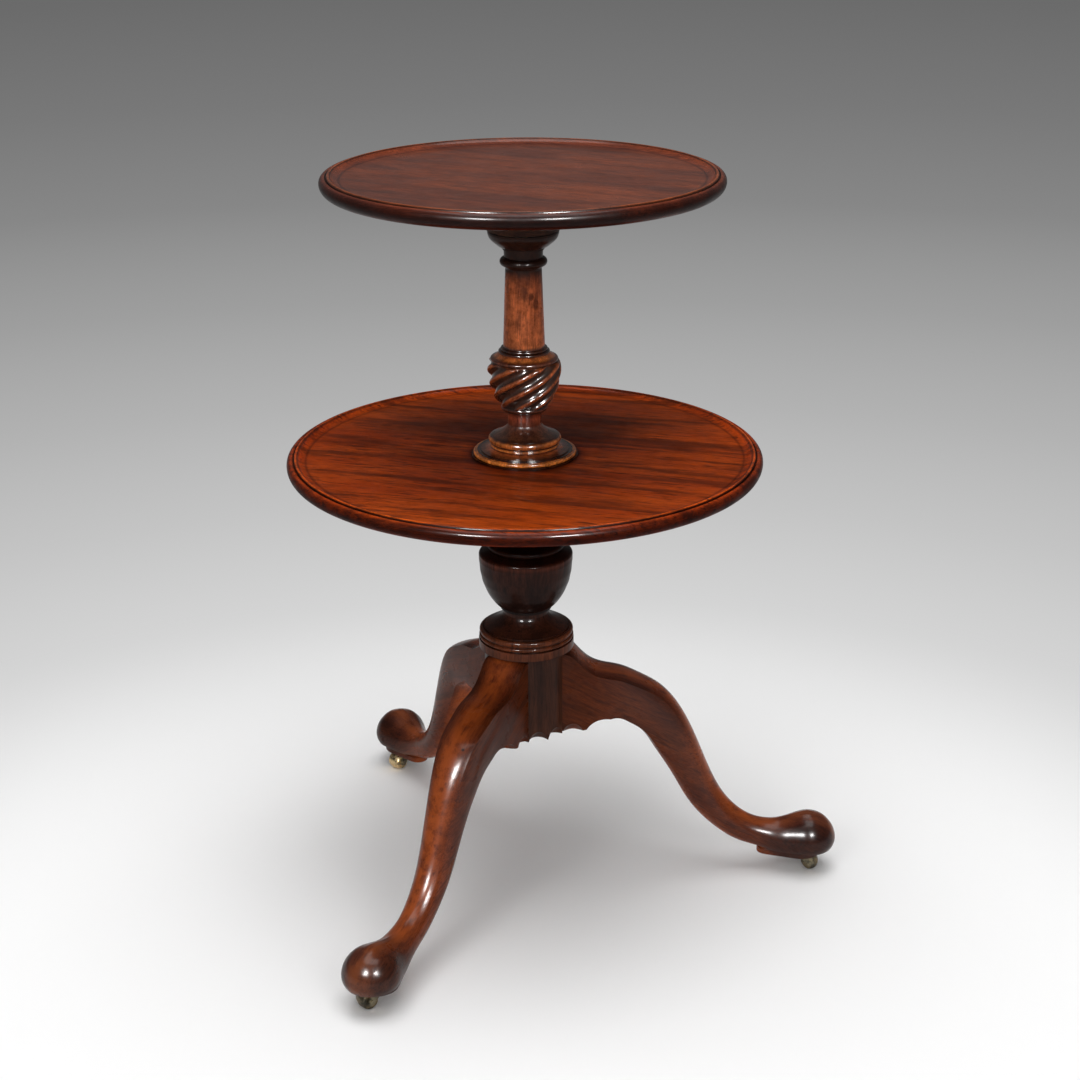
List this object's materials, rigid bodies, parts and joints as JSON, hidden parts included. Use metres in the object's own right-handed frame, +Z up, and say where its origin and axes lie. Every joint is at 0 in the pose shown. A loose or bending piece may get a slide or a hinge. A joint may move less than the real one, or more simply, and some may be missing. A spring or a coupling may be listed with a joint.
{
  "type": "dumbwaiter table",
  "caption": "Round tiered dumbwaiter table on a turned column with a spirally fluted vase and a tripod of curved legs on barrel casters; tiers turn, casters swivel and roll.",
  "frame": {"origin": "on the axis of the column, at the floor the rollers stand on", "axes": "+Z up along the column; +X out along the right-hand leg; +Y to the back of the table as seen from the front"},
  "size_m": [0.6698, 0.6847, 0.8931],
  "materials": {
    "top_tier_wood": "french polished",
    "lower_tier_wood": "french polished",
    "block_wood": "oiled",
    "pillar_wood": "french polished",
    "leg_wood": "french polished",
    "iron": "forged",
    "brass": "worn polish"
  },
  "bodies": {
    "root": {"lower_pillar": "pillar_wood", "tripod_plate": "iron", "tripod_plate_screws": "iron", "lower_washer": "brass", "upper_column": "pillar_wood", "upper_washer": "brass", "leg_right": "leg_wood", "caster_right_plate": "brass", "caster_right_screws": "brass", "leg_back_left": "leg_wood", "caster_back_left_plate": "brass", "caster_back_left_screws": "brass", "leg_front_left": "leg_wood", "caster_front_left_plate": "brass", "caster_front_left_screws": "brass"},
    "lower_tier_turning": {"lower_tier": "lower_tier_wood", "lower_tier_block": "block_wood", "lower_tier_screws": "iron"},
    "top_tier_turning": {"top_tier": "top_tier_wood", "top_tier_block": "block_wood", "top_tier_screws": "iron"},
    "caster_right_swivel": {"caster_right_fork": "brass", "caster_right_axle": "brass"},
    "caster_right_wheel": {"caster_right_roller": "brass"},
    "caster_back_left_swivel": {"caster_back_left_fork": "brass", "caster_back_left_axle": "brass"},
    "caster_back_left_wheel": {"caster_back_left_roller": "brass"},
    "caster_front_left_swivel": {"caster_front_left_fork": "brass", "caster_front_left_axle": "brass"},
    "caster_front_left_wheel": {"caster_front_left_roller": "brass"}
  },
  "joints": [
    {"name": "lower_tier_turn", "type": "hinge", "parent": "root", "child": "lower_tier_turning", "pos_m": [0, 0, 0.534], "axis": [0, 0, 1], "continuous": true},
    {"name": "top_tier_turn", "type": "hinge", "parent": "root", "child": "top_tier_turning", "pos_m": [0, 0, 0.85], "axis": [0, 0, 1], "continuous": true},
    {"name": "caster_right_turn", "type": "hinge", "parent": "root", "child": "caster_right_swivel", "pos_m": [0.344, 0, 0.0236], "axis": [0, 0, 1], "continuous": true},
    {"name": "caster_right_roll", "type": "hinge", "parent": "caster_right_swivel", "child": "caster_right_wheel", "pos_m": [0.359, 0, 0.011], "axis": [0, 1, 0], "continuous": true},
    {"name": "caster_back_left_turn", "type": "hinge", "parent": "root", "child": "caster_back_left_swivel", "pos_m": [-0.172, 0.29791, 0.0236], "axis": [0, 0, 1], "continuous": true},
    {"name": "caster_back_left_roll", "type": "hinge", "parent": "caster_back_left_swivel", "child": "caster_back_left_wheel", "pos_m": [-0.18164, 0.28642, 0.011], "axis": [0.766, -0.6428, 0], "continuous": true},
    {"name": "caster_front_left_turn", "type": "hinge", "parent": "root", "child": "caster_front_left_swivel", "pos_m": [-0.172, -0.29791, 0.0236], "axis": [0, 0, 1], "continuous": true},
    {"name": "caster_front_left_roll", "type": "hinge", "parent": "caster_front_left_swivel", "child": "caster_front_left_wheel", "pos_m": [-0.18444, -0.3063, 0.011], "axis": [0.5592, -0.829, 0], "continuous": true}
  ]
}
